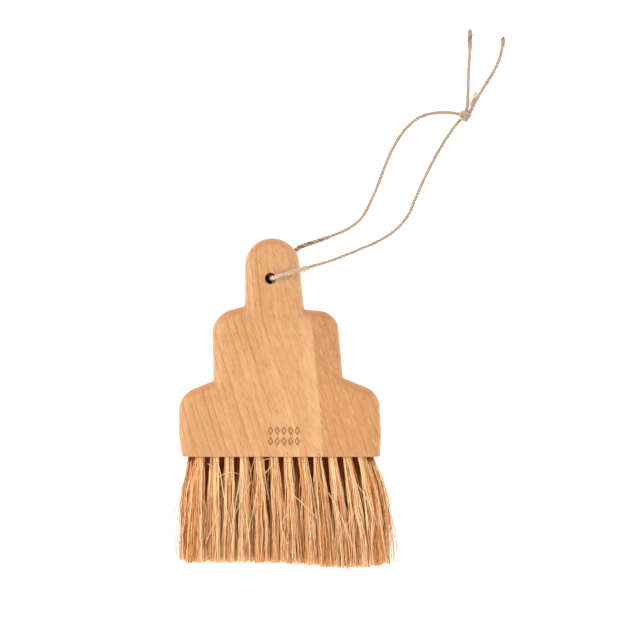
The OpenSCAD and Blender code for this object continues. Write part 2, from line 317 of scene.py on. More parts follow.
@dataclass(frozen=True)
class OiledBeech:
    """Oiled beech whose growth lines lean from the upper left to the lower right."""

    hole: Point
    face_z: float
    carving: tuple[float, float, float, float]
    carving_depth: float
    specks: tuple[Point, ...]
    cream: Colour = (0.61, 0.345, 0.145)
    tan: Colour = (0.515, 0.255, 0.092)
    honey: Colour = (0.475, 0.21, 0.066)
    blush: Colour = (0.52, 0.225, 0.09)
    latewood: Colour = (0.30, 0.115, 0.032)
    russet: Colour = (0.38, 0.155, 0.05)
    pore: Colour = (0.25, 0.09, 0.024)
    end_wood: Colour = (0.40, 0.145, 0.038)
    carved_wood: Colour = (0.27, 0.10, 0.028)
    scorched: Colour = (0.17, 0.05, 0.014)
    # Near-black brown, painted as shade in and round the hanging hole and mixed thinly over the knob.
    near_black: Colour = (0.10, 0.012, 0.003)
    ring_gap: float = 0.0045
    seam_start: float = 0.0194
    seam_lean: float = 0.084
    seam_bow: float = 0.55
    dash_lean: float = 0.44
    knob_start: float = 0.050

    def dress(self) -> bpy.types.Material:
        """Makes the material.

        Returns:
            The wood material.
        """
        bench = Bench("oiled_beech")
        place = bench.place()
        x, y, z = bench.split(place)
        wander = (bench.noise(bench.join(x, y * 0.3, z), 34.0, 2.0) - 0.5) * 0.0030
        seam = self.seam_start - self.seam_lean * y - self.seam_bow * y * y + wander * 0.25
        past = x - seam
        right = bench.step(past, -0.0002, 0.0008)
        across = self.across_grain(bench, x, y, z, wander, right)
        dash = x + self.dash_lean * y + z * 0.5
        streak = bench.noise(bench.join(dash * 1150.0, y * 150.0, z * 700.0), 1.0, 3.0, 0.62)
        lines = self.growth_lines(bench, x, y, z, across, right)
        lines = 1 - (1 - lines) * (1 - self.seam_line(bench, past, streak))
        pores = self.pores(bench, y, z, dash)
        hole_shade = self.hole_shade(bench, x, y)
        colour = self.zones(bench, x, y, past, right, across)
        colour = self.streaked(bench, colour, y, z, dash, streak)
        for tint, share in (
            (self.latewood, lines),
            (self.pore, pores * 0.60),
            (self.end_wood, self.end_grain(bench, place)),
            (self.scorched, self.speckle(bench, place)),
            (self.carved_wood, self.carved(bench, x, y, z)),
            # painted shade in and just round the hanging hole
            (self.near_black, hole_shade),
        ):
            colour = bench.mix(colour, tint, share)
        height = streak * 0.35 + (1 - pores) * 0.5 - lines * 0.25
        roughness = 0.40 + streak * 0.12 + pores * 0.15 + hole_shade * 0.4
        self.feed_coat(bench, 1 - hole_shade)
        return bench.finish(colour, roughness, height, 0.00012, IOR=1.45, Coat_Roughness=0.35)

    def feed_coat(self, bench: Bench, share: Signal) -> None:
        """Gives the oil its soft sheen, but not on the painted shade in and round the hanging hole."""
        bench.feed(bench.shader.inputs["Coat Weight"], share * 0.19)

    def across_grain(
        self, bench: Bench, x: Signal, y: Signal, z: Signal, wander: Signal, right: Signal
    ) -> Signal:
        """Place across the growth lines, which lean less in the middle and stand nearly upright in the knob.

        Args:
            bench: The node table.
            x: Place across the block.
            y: Place up the block.
            z: Height.
            wander: How far the lines stray.
            right: 1 on the honey-coloured side.

        Returns:
            The place, in metres.
        """
        rise = y - self.knob_start
        above = rise.math("MAXIMUM", rise, 0.0)
        lean = 0.32 - 0.14 * bench.step(x, -0.004, 0.016) + 0.14 * right
        return x + lean * (y - above) + 0.10 * above + z * 0.45 + wander + right * 0.011

    def streaked(
        self, bench: Bench, colour: Signal, y: Signal, z: Signal, dash: Signal, streak: Signal
    ) -> Signal:
        """Mottles and streaks the board along its grain, and darkens it a little towards the knob.

        Args:
            bench: The node table.
            colour: The board's colour.
            y: Place up the block.
            z: Height.
            dash: Place across the streaks.
            streak: The streaks' own noise.

        Returns:
            The streaked colour.
        """
        mottle = bench.noise(bench.join(dash * 210.0, y * 110.0, z * 90.0), 1.0, 2.0)
        colour = bench.mix(colour, self.blush, bench.step(mottle, 0.42, 0.70) * 0.55)
        colour = bench.mix(colour, self.latewood, bench.step(streak, 0.48, 0.74) * 0.52)
        colour = bench.mix(colour, self.cream, bench.step(1 - streak, 0.50, 0.74) * 0.65)
        # Darkens the wood a little towards the knob.
        return bench.mix(colour, self.near_black, 0.01 + bench.step(y, 0.020, 0.055) * 0.085)

    def seam_line(self, bench: Bench, past: Signal, streak: Signal) -> Signal:
        """How dark the thin broken line is where the honey-coloured side starts."""
        line = bench.step(past, -0.0009, -0.0001) * (1 - bench.step(past, 0.0001, 0.0007))
        return line * bench.step(streak, 0.36, 0.56) * 0.6

    def zones(
        self, bench: Bench, x: Signal, y: Signal, past: Signal, right: Signal, across: Signal
    ) -> Signal:
        """Broad tones of the board.

        Args:
            bench: The node table.
            x: Place across the block.
            y: Place up the block.
            past: Distance past the start of the honey-coloured side, across the block.
            right: 1 on the honey-coloured side.
            across: Place across the grain.

        Returns:
            The colour before growth lines and pores.
        """
        tone = bench.noise(bench.join(across * 150.0, y * 9.0, 0.0), 1.0, 2.0)
        middle = bench.step(x, -0.034, -0.004)
        left = bench.mix(self.tan, self.cream, bench.step(tone, 0.36, 0.70) * (0.35 + 0.45 * middle))
        left = bench.mix(left, self.honey, (1 - bench.step(x, -0.056, -0.026)) * 0.40)
        pale = bench.step(past, -0.0085, -0.0055) * (1 - right)
        left = bench.mix(left, self.cream, pale * 0.75)
        side = bench.mix(self.honey, self.tan, bench.step(tone, 0.38, 0.75) * 0.7)
        side = bench.mix(side, self.russet, bench.step(y, -0.004, 0.026) * 0.58)
        return bench.mix(left, side, right * 0.92)

    def growth_lines(
        self, bench: Bench, x: Signal, y: Signal, z: Signal, across: Signal, right: Signal
    ) -> Signal:
        """Dark latewood lines, each rising slowly and ending sharply.

        Args:
            bench: The node table.
            x: Place across the block.
            y: Place up the block.
            z: Height.
            across: Place across the grain.
            right: 1 on the honey-coloured side.

        Returns:
            How dark the lines are.
        """
        pace = bench.noise(bench.join(across, 0.0, 0.0), 120.0, 1.0) * 1.6
        count = across / self.ring_gap + pace
        turn = count.math("FRACT", count)
        own = bench.node("ShaderNodeTexWhiteNoise", {"W": count.math("FLOOR", count)}, noise_dimensions="1D")
        strength = 0.60 + 0.50 * own
        fade = bench.step(bench.noise(bench.join(across * 160.0, y * 40.0, z * 40.0), 1.0, 2.0), 0.30, 0.62)
        busy = 1 - 0.70 * bench.step(x, -0.022, 0.004) + right * 0.35
        line = turn**7 * 0.95 + turn**2 * 0.20
        return line * strength * busy * (0.35 + 0.65 * fade)

    def pores(self, bench: Bench, y: Signal, z: Signal, dash: Signal) -> Signal:
        """Short dark dashes along the grain.

        Args:
            bench: The node table.
            y: Place up the block.
            z: Height.
            dash: Place across the dashes.

        Returns:
            1 in a pore.
        """
        spot = bench.join(dash * 1000.0, y * 250.0, z * 1000.0)
        away = bench.node("ShaderNodeTexVoronoi", {"Vector": spot, "Scale": 1.0}, output="Distance")
        pick = bench.node("ShaderNodeSeparateColor", {0: away.sibling("Color")})
        crowd = bench.step(bench.noise(bench.join(dash * 90.0, y * 40.0, z * 60.0), 1.0, 2.0), 0.30, 0.60)
        return (1 - bench.step(away, 0.10, 0.36)) * (pick > 0.42) * (0.30 + 0.70 * crowd)

    def hole_shade(self, bench: Bench, x: Signal, y: Signal) -> Signal:
        """Painted shade: how dark the wood is painted in and just round the hanging hole."""
        spot = (self.hole[0], self.hole[1], 0.0)
        return bench.near(bench.join(x, y, 0.0), spot, 0.0027, 0.0036)

    def speckle(self, bench: Bench, place: Signal) -> Signal:
        """1 on the few tiny dark specks.

        Args:
            bench: The node table.
            place: Object coordinates.

        Returns:
            The mask.
        """
        total: Number = 0.0
        for spot in self.specks:
            total = bench.near(place, spot, 0.0002, 0.0007) + total
        return total * 0.75

    def carved(self, bench: Bench, x: Signal, y: Signal, z: Signal) -> Signal:
        """How scorched the wood is in the carved border.

        Args:
            bench: The node table.
            x: Place across the block.
            y: Place up the block.
            z: Height.

        Returns:
            The share of scorched wood.
        """
        left, bottom, right, top = self.carving
        inside = (x > left) * (x < right) * (y > bottom) * (y < top)
        return bench.step(self.face_z - z, self.carving_depth * 0.1, self.carving_depth) * inside * 0.80

    def end_grain(self, bench: Bench, place: Signal) -> Signal:
        """How far the surface turns to the ends of the grain, where oil darkens it."""
        facing = bench.split(place.sibling("Normal"))[1]
        return bench.step(abs(facing), 0.16, 0.80) * 0.85


@dataclass(frozen=True)
class PalmFibre:
    """Dry palm fibre in the tone that its attribute shade gives, from the deep brown of painted shade at the
    roots to pale.
    """

    # Painted shade: the colour of the darkest roots in the rows behind the front one.
    root_shade: Colour = (0.37, 0.080, 0.010)
    umber: Colour = (0.50, 0.185, 0.048)
    tan: Colour = (0.88, 0.44, 0.17)
    straw: Colour = (0.98, 0.72, 0.42)

    def dress(self) -> bpy.types.Material:
        """Makes the material.

        Returns:
            The fibre material.
        """
        bench = Bench("palm_fibre")
        shade = bench.node("ShaderNodeAttribute", output="Fac", attribute_name="shade")
        x, y, z = bench.split(bench.place())
        fleck = bench.noise(bench.join(x * 1700.0, y * 240.0, z * 1700.0), 1.0, 2.0, 0.6)
        flecked = bench.step(fleck, 0.54, 0.82) * bench.step(shade, 0.2, 0.5) * 0.35
        colour = bench.mix(self.root_shade, self.umber, bench.step(shade, 0.0, 0.26))
        colour = bench.mix(colour, self.tan, bench.step(shade, 0.20, 0.56))
        colour = bench.mix(colour, self.straw, bench.step(shade, 0.52, 1.0))
        colour = bench.mix(colour, self.umber, flecked)
        return bench.finish(colour, 0.55 + fleck * 0.2, fleck, 0.00008, IOR=1.4)


@dataclass(frozen=True)
class JuteTwine:
    """Dry jute, which follows the ply's own UV map and the attribute wear.

    Wear is 1 where the twine is dark and frayed, 0 where it is plain and -1 where it is clean and pale.
    """

    pale: Colour = (0.61, 0.47, 0.355)
    beige: Colour = (0.455, 0.33, 0.245)
    grey: Colour = (0.35, 0.30, 0.22)
    brown: Colour = (0.17, 0.10, 0.065)
    fluff: Colour = (0.78, 0.57, 0.39)
    lay_turns: float = 5.0

    def dress(self) -> bpy.types.Material:
        """Makes the material.

        Returns:
            The twine material.
        """
        bench = Bench("jute_twine")
        wear = bench.node("ShaderNodeAttribute", output="Fac", attribute_name="wear")
        u, v, _ = bench.split(bench.node("ShaderNodeTexCoord", output="UV"))
        strand = bench.noise(bench.join(u * 9.0 + v * self.lay_turns, v * 1.2, 0.0), 1.0, 3.0, 0.65)
        blotch = bench.noise(bench.join(v * 0.35, u, 0.0), 1.0, 2.0)
        turn = u.math("FRACT", u) * (2 * math.pi)
        outward = turn.math("COSINE", turn)
        colour = bench.mix(self.beige, self.pale, bench.step(strand, 0.38, 0.62))
        colour = bench.mix(colour, self.grey, bench.step(blotch, 0.50, 0.68) * 0.6)
        colour = bench.mix(colour, self.brown, bench.step(1 - strand, 0.50, 0.72) * 0.65)
        colour = bench.mix(colour, self.brown, bench.step(1 - blotch, 0.52, 0.74) * 0.55)
        # Painted shade in the grooves between the plies, on each ply's side that faces the others.
        colour = bench.mix(colour, self.brown, (1 - bench.step(outward, -0.2, 0.8)) * 0.45)
        colour = bench.mix(colour, self.fluff, bench.step(wear * -1.0, 0.1, 0.8) * 0.75)
        first_ply = u.math("FLOOR", u) < 0.5
        worn = bench.step(wear, 0.1, 0.6) * (0.12 + 0.88 * first_ply)
        colour = bench.mix(colour, self.brown, worn * 0.90)
        return bench.finish(colour, 0.9, strand, 0.00015, IOR=1.35)


@dataclass(frozen=True)
class JuteHair:
    """Loose hairs of the twine, in the tone that their attribute shade gives."""

    pale: Colour = (0.74, 0.58, 0.43)
    dark: Colour = (0.10, 0.065, 0.045)

    def dress(self) -> bpy.types.Material:
        """Makes the material.

        Returns:
            The hair material.
        """
        bench = Bench("jute_hair")
        shade = bench.node("ShaderNodeAttribute", output="Fac", attribute_name="shade")
        return bench.finish(bench.mix(self.dark, self.pale, bench.step(shade, 0.0, 0.6)), 0.8, IOR=1.4)


@dataclass(frozen=True)
class DrawnWire:
    """Drawn steel wire with fine marks along it."""

    steel: Colour = (0.56, 0.55, 0.53)
    dull: Colour = (0.34, 0.33, 0.31)

    def dress(self) -> bpy.types.Material:
        """Makes the material.

        Returns:
            The wire material.
        """
        bench = Bench("drawn_wire")
        x, y, z = bench.split(bench.place())
        marks = bench.noise(bench.join(x * 120.0, y * 2600.0, z * 2600.0), 1.0, 2.0)
        colour = bench.mix(self.steel, self.dull, bench.step(marks, 0.45, 0.75))
        return bench.finish(colour, 0.28 + marks * 0.2, marks, 0.00003, Metallic=1.0)


@dataclass(frozen=True)
class PaleFloor:
    """Matt white studio floor, which glows enough to hide the shadows."""

    hole_shadow_spot: Point
    spot_reach: tuple[float, float] = (0.0045, 0.0060)
    white: Colour = (0.93, 0.93, 0.93)
    # Painted shadow: the tone of the floor seen down the hanging hole.
    dark: Colour = (0.10, 0.014, 0.004)
    glow: float = 0.55

    def dress(self) -> bpy.types.Material:
        """Makes the material, with a painted shadow, dark and without its glow, on the spot seen down the
        hanging hole.

        Returns:
            The floor material.
        """
        bench = Bench("pale_floor")
        hidden = bench.near(bench.place(), self.hole_shadow_spot, *self.spot_reach)
        glow = bench.mix((1.0, 1.0, 1.0), (0.0, 0.0, 0.0), hidden)
        white = bench.mix(self.white, self.dark, hidden)
        return bench.finish(
            white, 0.9, Specular_IOR_Level=0.1, Emission_Color=glow, Emission_Strength=self.glow
        )


def alone() -> None:
    """Leaves nothing selected, in object mode."""
    if bpy.context.mode != "OBJECT":
        bpy.ops.object.mode_set(mode="OBJECT")
    bpy.ops.object.select_all(action="DESELECT")


def pick(piece: bpy.types.Object) -> None:
    """Selects one piece and makes it the active one.

    Args:
        piece: The piece.
    """
    alone()
    piece.select_set(True)
    bpy.context.view_layer.objects.active = piece


def settle(piece: bpy.types.Object) -> None:
    """Moves a piece's place, turn and scale into its mesh."""
    pick(piece)
    bpy.ops.object.transform_apply(location=True, rotation=True, scale=True)


def place_piece(
    piece: bpy.types.Object,
    name: str,
    finish: bpy.types.Material,
    body: Body,
    slot: Slot,
    nodes: Sequence[str] = (),
) -> bpy.types.Object:
    """Names a finished piece, dresses it and ties it to the frame.

    Args:
        piece: The piece, with its place in its mesh.
        name: Its name.
        finish: Its material.
        body: The body that it moves with.
        slot: The record's slot that its finish is from; not used.
        nodes: The nodes that it stands for.

    Returns:
        The piece.
    """
    piece.name = name
    piece.data.name = name
    piece.data.materials.clear()
    piece.data.materials.append(finish)
    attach(piece, body.value)
    if nodes:
        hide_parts(*nodes)
    log.info("%s: %d faces", name, len(piece.data.polygons))
    return piece


class Corner(NamedTuple):
    """Corner of an outline and its radius."""

    x: float
    y: float
    radius: float


def select_edges(piece: bpy.types.Object, wanted: Callable[[Vector, Vector], bool]) -> None:
    """Selects the edges of the piece in edit mode whose two ends pass a test.

    Args:
        piece: The piece, in edit mode.
        wanted: Test of the two ends' places.
    """
    bpy.ops.mesh.select_all(action="DESELECT")
    bpy.ops.mesh.select_mode(type="EDGE")
    table = bmesh.from_edit_mesh(piece.data)
    for edge in table.edges:
        if wanted(edge.verts[0].co, edge.verts[1].co):
            edge.select_set(True)
    bmesh.update_edit_mesh(piece.data)


@dataclass
class HandleBlock:
    """Stepped wooden block, drilled for the tufts and the twine, with a carved border on its front."""

    low: Vector
    high: Vector
    tufts: Sequence[tuple[float, float]]
    knob_width: float = 0.0314
    knob_centre: float = -0.0081
    knob_draw: float = 0.0014
    knob_lean: float = 0.0039
    knob_foot_left: float = 0.0042
    knob_foot_right: float = 0.0022
    waist_left: float = 0.0429
    waist_right: float = 0.0290
    waist_lean: float = 0.0034
    waist_draw: float = 0.0011
    waist_height: float = 0.082
    waist_round_left: float = 0.014
    waist_round_right: float = 0.011
    foot_height: float = 0.036
    foot_rise: float = 0.0082
    foot_round_left: float = 0.0125
    foot_round_right: float = 0.0115
    shoulder_skew: float = 0.0007
    shoulder_draw: float = 0.0012
    bulge_height: float = 0.013
    bulge_round: float = 0.020
    face_draw_left: float = 0.0019
    face_draw_right: float = 0.0006
    edge_round: float = 0.0065
    crisp_round: float = 0.0005
    inner_round: float = 0.002
    wide_round: float = 0.009
    merge: float = 0.0001
    hole_bore: float = 0.0054
    hole_place: tuple[float, float] = (-0.009, 0.0713)
    hole_flare: float = 0.001
    hole_steps: tuple[tuple[float, float], ...] = ((1.0, 0.35), (0.6, 0.75), (0.6, 1.4))
    tuft_bore: float = 0.0052
    tuft_depth: float = 0.013
    lozenge: tuple[float, float] = (0.0038, 0.0056)
    lozenge_rows: tuple[float, float] = (-0.0156, -0.0216)
    lozenge_middle: float = -0.0013
    lozenge_count: int = 5
    lozenge_fill: float = 0.86
    groove: float = 0.00075
    groove_depth: float = 0.0003

    def corners(self) -> list[Corner]:
        """Corners of the outline, from the right foot over the knob to the left foot.

        Returns:
            The corners, with the radius of each.
        """
        face = self.low.y
        foot = face + self.foot_height
        waist = face + self.waist_height
        bulge = face + self.bulge_height
        skew = self.shoulder_skew
        left, right, top = self.low.x, self.high.x, self.high.y
        knob_left = self.knob_centre - self.knob_width / 2
        knob_right = self.knob_centre + self.knob_width / 2 - self.knob_draw
        knob_round = self.knob_width / 2 - SLACK
        return [
            Corner(right - self.face_draw_right, face, 0),
            Corner(right, bulge, self.bulge_round),
            Corner(right - self.shoulder_draw, foot + skew, self.foot_round_right),
            Corner(self.waist_right + self.waist_lean, foot + skew + self.foot_rise, self.inner_round),
            Corner(self.waist_right, waist + skew, self.waist_round_right),
            Corner(knob_right + self.knob_lean, waist + self.knob_foot_right, self.inner_round),
            Corner(knob_right, top, knob_round),
            Corner(knob_left, top, knob_round),
            Corner(knob_left, waist + self.knob_foot_left, self.inner_round),
            Corner(-self.waist_left, waist - skew, self.waist_round_left),
            Corner(-self.waist_left + self.waist_draw, foot - skew + self.foot_rise, self.inner_round),
            Corner(left, foot - skew, self.foot_round_left),
            Corner(left, bulge, self.bulge_round),
            Corner(left + self.face_draw_left, face, 0),
        ]

    def carving(self) -> tuple[float, float, float, float]:
        """Left, bottom, right and top of the carved border, with a margin.

        Returns:
            The four bounds.
        """
        half = self.lozenge_count * self.lozenge[0] / 2 + 0.001
        top, bottom = self.lozenge_rows
        reach = self.lozenge[1] / 2 + 0.001
        return (self.lozenge_middle - half, bottom - reach, self.lozenge_middle + half, top + reach)

    def model(self) -> bpy.types.Object:
        """Models the block.

        Returns:
            The block's piece, not yet dressed.
        """
        block = self.outline()
        self.round_corners(block)
        self.raise_and_soften(block)
        self.cut(block, [self.hanging_hole()])
        self.cut(block, [self.tuft_hole(x, z) for x, z in self.tufts])
        self.cut(block, list(self.border()))
        pick(block)
        bpy.ops.object.shade_smooth_by_angle(angle=math.radians(32))
        weighted = block.modifiers.new("even_light", "WEIGHTED_NORMAL")
        weighted.keep_sharp = True
        bpy.ops.object.modifier_apply(modifier=weighted.name)
        return block

    def outline(self) -> bpy.types.Object:
        """A flat face on the outline's sharp corners, at the block's back.

        Returns:
            The face's object.
        """
        corners = self.corners()
        alone()
        bpy.ops.mesh.primitive_circle_add(vertices=len(corners), radius=0.05, fill_type="NGON")
        face = bpy.context.object
        for point, corner in zip(face.data.vertices, corners):
            point.co = (corner.x, corner.y, self.low.z)
        return face

    def round_corners(self, face: bpy.types.Object) -> None:
        """Rounds each corner of the flat face to its own radius.

        Args:
            face: The face's object.
        """
        corners = self.corners()
        pick(face)
        bpy.ops.object.mode_set(mode="EDIT")
        bpy.ops.mesh.select_mode(type="VERT")
        for i, corner in enumerate(corners):
            if corner.radius == 0:
                continue
            here = Vector(corner[:2])
            back = (Vector(corners[i - 1][:2]) - here).normalized()
            ahead = (Vector(corners[i + 1][:2]) - here).normalized()
            self.select_corner(face, here)
            bpy.ops.mesh.bevel(
                affect="VERTICES",
                offset_type="OFFSET",
                offset=corner.radius / math.tan(back.angle(ahead) / 2),
                segments=12 if corner.radius > self.wide_round else 5,
                profile=0.5,
            )
        bpy.ops.mesh.select_all(action="SELECT")
        bpy.ops.mesh.remove_doubles(threshold=self.merge)
        bpy.ops.object.mode_set(mode="OBJECT")

    def select_corner(self, face: bpy.types.Object, here: Vector) -> None:
        """Selects the point nearest to a place on the outline.

        Args:
            face: The face's object, in edit mode.
            here: The place.
        """
        bpy.ops.mesh.select_all(action="DESELECT")
        table = bmesh.from_edit_mesh(face.data)
        nearest = min(table.verts, key=lambda v: (v.co.xy - here).length)
        nearest.select_set(True)
        bmesh.update_edit_mesh(face.data)

    def raise_and_soften(self, face: bpy.types.Object) -> None:
        """Raises the face to the block's thickness and rounds its rims, but for the crisp bristle face.

        Args:
            face: The face's object.
        """
        low, high = self.low, self.high
        pick(face)
        bpy.ops.object.mode_set(mode="EDIT")
        bpy.ops.mesh.select_all(action="SELECT")
        bpy.ops.mesh.extrude_region_move(TRANSFORM_OT_translate={"value": (0, 0, high.z - low.z)})
        bpy.ops.mesh.select_all(action="SELECT")
        bpy.ops.mesh.normals_make_consistent(inside=False)

        def on_face(point: Vector) -> bool:
            """Whether a point lies on the bristle face."""
            return abs(point.y - low.y) < SLACK

        def is_rim(a: Vector, b: Vector) -> bool:
            """Whether an edge runs round the front or back and takes the large round."""
            level = abs(a.z - b.z) < SLACK
            return level and not (on_face(a) and on_face(b))

        def is_crisp(a: Vector, b: Vector) -> bool:
            """Whether an edge borders the bristle face and stays crisp."""
            return on_face(a) and on_face(b)

        select_edges(face, is_rim)
        bpy.ops.mesh.bevel(affect="EDGES", offset=self.edge_round, segments=9, profile=0.5)
        select_edges(face, is_crisp)
        bpy.ops.mesh.bevel(affect="EDGES", offset=self.crisp_round, segments=2, profile=0.5)
        bpy.ops.object.mode_set(mode="OBJECT")

    def cut(self, block: bpy.types.Object, cutters: list[bpy.types.Object]) -> None:
        """Cuts closed shapes, which don't touch each other, out of the block.

        Args:
            block: The block.
            cutters: The shapes, which are used up.
        """
        alone()
        for cutter in cutters:
            cutter.select_set(True)
        bpy.context.view_layer.objects.active = cutters[0]
        if len(cutters) > 1:
            bpy.ops.object.join()
        tool = bpy.context.view_layer.objects.active
        pick(block)
        cut = block.modifiers.new("cut", "BOOLEAN")
        cut.operation = "DIFFERENCE"
        cut.solver = "EXACT"
        cut.object = tool
        bpy.ops.object.modifier_apply(modifier=cut.name)
        bpy.data.objects.remove(tool)

    def hanging_hole(self) -> bpy.types.Object:
        """Cutter of the hanging hole, a bar that flares towards both mouths.

        Returns:
            The cutter.
        """
        x, y = self.hole_place
        thickness = self.high.z - self.low.z
        middle = (self.high.z + self.low.z) / 2
        radius = self.hole_bore / 2
        alone()
        bpy.ops.mesh.primitive_cylinder_add(
            vertices=40, radius=radius, depth=thickness - 3 * self.hole_flare, location=(x, y, middle)
        )
        bar = bpy.context.object
        settle(bar)
        bpy.ops.object.mode_set(mode="EDIT")
        bpy.ops.mesh.select_mode(type="FACE")
        for side in (-1, 1):
            widest = radius
            for rise, spread in self.hole_steps:
                self.select_end(bar, side)
                bpy.ops.mesh.extrude_region_move(
                    TRANSFORM_OT_translate={"value": (0, 0, side * rise * self.hole_flare)}
                )
                factor = (radius + spread * self.hole_flare) / widest
                bpy.ops.transform.resize(value=(factor, factor, 1), center_override=(x, y, middle))
                widest *= factor
        bpy.ops.object.mode_set(mode="OBJECT")
        return bar

    def select_end(self, bar: bpy.types.Object, side: int) -> None:
        """Selects one end face of an upright bar.

        Args:
            bar: The bar, in edit mode.
            side: 1 for the top and -1 for the bottom.
        """
        bpy.ops.mesh.select_all(action="DESELECT")
        table = bmesh.from_edit_mesh(bar.data)
        end = max(v.co.z * side for v in table.verts)
        for face in table.faces:
            if all(v.co.z * side > end - SLACK for v in face.verts):
                face.select_set(True)
        bmesh.update_edit_mesh(bar.data)

    def tuft_hole(self, x: float, z: float) -> bpy.types.Object:
        """Cutter of one tuft's blind hole.

        Args:
            x: Its middle.
            z: Its middle.

        Returns:
            The cutter.
        """
        spare = 0.001
        alone()
        bpy.ops.mesh.primitive_cylinder_add(
            vertices=20,
            radius=self.tuft_bore / 2,
            depth=self.tuft_depth + spare,
            location=(x, self.low.y + (self.tuft_depth - spare) / 2, z),
            rotation=(math.pi / 2, 0, 0),
        )
        bar = bpy.context.object
        settle(bar)
        return bar

    def border(self) -> Iterator[bpy.types.Object]:
        """Cutters of the carved border: two rows of lozenge grooves.

        Yields:
            The cutter of each lozenge.
        """
        width, height = self.lozenge
        first = self.lozenge_middle - (self.lozenge_count - 1) * width / 2
        for row in self.lozenge_rows:
            for i in range(self.lozenge_count):
                yield self.lozenge_groove(first + i * width, row, width * self.lozenge_fill, height)

    def lozenge_groove(self, x: float, y: float, width: float, height: float) -> bpy.types.Object:
        """Cutter of one lozenge groove, a four-sided ring.

        Args:
            x: Its middle.
            y: Its middle.
            width: Its width across its points.
            height: Its height.

        Returns:
            The cutter.
        """
        alone()
        bpy.ops.mesh.primitive_cylinder_add(
            vertices=4,
            radius=0.5,
            depth=2 * self.groove_depth,
            location=(x, y, self.high.z),
            rotation=(0, 0, 0),
        )
        ring = bpy.context.object
        ring.scale = (width, height, 1)
        settle(ring)
        bpy.ops.object.mode_set(mode="EDIT")
        bpy.ops.mesh.select_mode(type="FACE")
        for side in (-1, 1):
            self.select_end(ring, side)
            bpy.ops.mesh.inset(thickness=self.groove, depth=0)
        self.select_inner(ring, x, y, min(width, height) / 2)
        bpy.ops.mesh.bridge_edge_loops()
        bpy.ops.mesh.select_all(action="SELECT")
        bpy.ops.mesh.normals_make_consistent(inside=False)
        bpy.ops.object.mode_set(mode="OBJECT")
        return ring

    def select_inner(self, ring: bpy.types.Object, x: float, y: float, reach: float) -> None:
        """Selects the two inset end faces of a lozenge, which bridging turns into its inner wall.

        Args:
            ring: The lozenge, in edit mode.
            x: Its middle.
            y: Its middle.
            reach: Half of its lesser side.
        """
        bpy.ops.mesh.select_all(action="DESELECT")
        table = bmesh.from_edit_mesh(ring.data)
        for face in table.faces:
            middle = face.calc_center_median()
            if abs(face.normal.z) > 0.9 and (middle.xy - Vector((x, y))).length < reach * 0.2:
                face.select_set(True)
        bmesh.update_edit_mesh(ring.data)


@dataclass
class FibreBlank:
    """One thin three-sided fibre, modelled once, from which every strand and hair is laid."""

    rings: int

    def __post_init__(self) -> None:
        """Models the blank and keeps its points and faces."""
        alone()
        bpy.ops.mesh.primitive_cylinder_add(vertices=3, radius=1.0, depth=1.0, location=(0, 0, 0.5))
        blank = bpy.context.object
        settle(blank)
        bpy.ops.object.mode_set(mode="EDIT")
        select_edges(blank, lambda a, b: abs(a.z - b.z) > 0.5)
        bpy.ops.mesh.subdivide(number_cuts=self.rings - 2)
        bpy.ops.object.mode_set(mode="OBJECT")
        points = np.array([v.co for v in blank.data.vertices])
        self.ring = np.rint(points[:, 2] * (self.rings - 1)).astype(int)
        self.section = points[:, :2]
        self.faces = [list(face.vertices) for face in blank.data.polygons]
        bpy.data.objects.remove(blank)

    def lay(self, lines: np.ndarray, radii: np.ndarray, shades: np.ndarray) -> bpy.types.Object:
        """Lays a copy of the blank along each line.

        Args:
            lines: Centre lines, as fibres by rings by three.
            radii: Radius of each fibre at each ring.
            shades: Tone of each fibre at each ring, from 0 to 1.

        Returns:
            One object that holds the fibres, with the attribute shade.
        """
        count = len(lines)
        ahead = np.gradient(lines, axis=1)
        ahead /= np.linalg.norm(ahead, axis=2, keepdims=True)
        side = np.cross(ahead, np.array([0.0, 0.0, 1.0]) + 0.01)
        side /= np.linalg.norm(side, axis=2, keepdims=True)
        up = np.cross(ahead, side)
        across = side[:, self.ring] * self.section[None, :, 0, None]
        across -= up[:, self.ring] * self.section[None, :, 1, None]
        points = lines[:, self.ring] + across * radii[:, self.ring, None]
        step = len(self.ring)
        faces = [[i + k * step for i in face] for k in range(count) for face in self.faces]
        mesh = bpy.data.meshes.new("fibres")
        mesh.from_pydata(points.reshape(-1, 3).tolist(), [], faces)
        mesh.polygons.foreach_set("use_smooth", [True] * len(faces))
        tones = shades[:, self.ring].ravel().astype(np.float32)
        mesh.attributes.new("shade", "FLOAT", "POINT").data.foreach_set("value", tones)
        piece = bpy.data.objects.new("fibres", mesh)
        bpy.context.collection.objects.link(piece)
        return piece


def waves(
    rng: np.random.Generator, count: int, at: np.ndarray, swing: float, low: float, high: float
) -> np.ndarray:
    """Gentle sideways waves that start from nothing.

    Args:
        rng: The source of chance.
        count: How many.
        at: Places along a fibre, from 0 to 1.
        swing: Typical width of a wave.
        low: Fewest waves in the length.
        high: Most waves in the length.

    Returns:
        Offsets, as count by places by two.
    """
    pace = rng.uniform(low, high, (count, 1, 2))
    start = rng.uniform(0, 2 * math.pi, (count, 1, 2))
    size = rng.normal(0, swing, (count, 1, 2))
    grow = np.clip(at / 0.35, 0, 1)[None, :, None]
    return size * np.sin(2 * math.pi * pace * at[None, :, None] + start) * grow**1.5


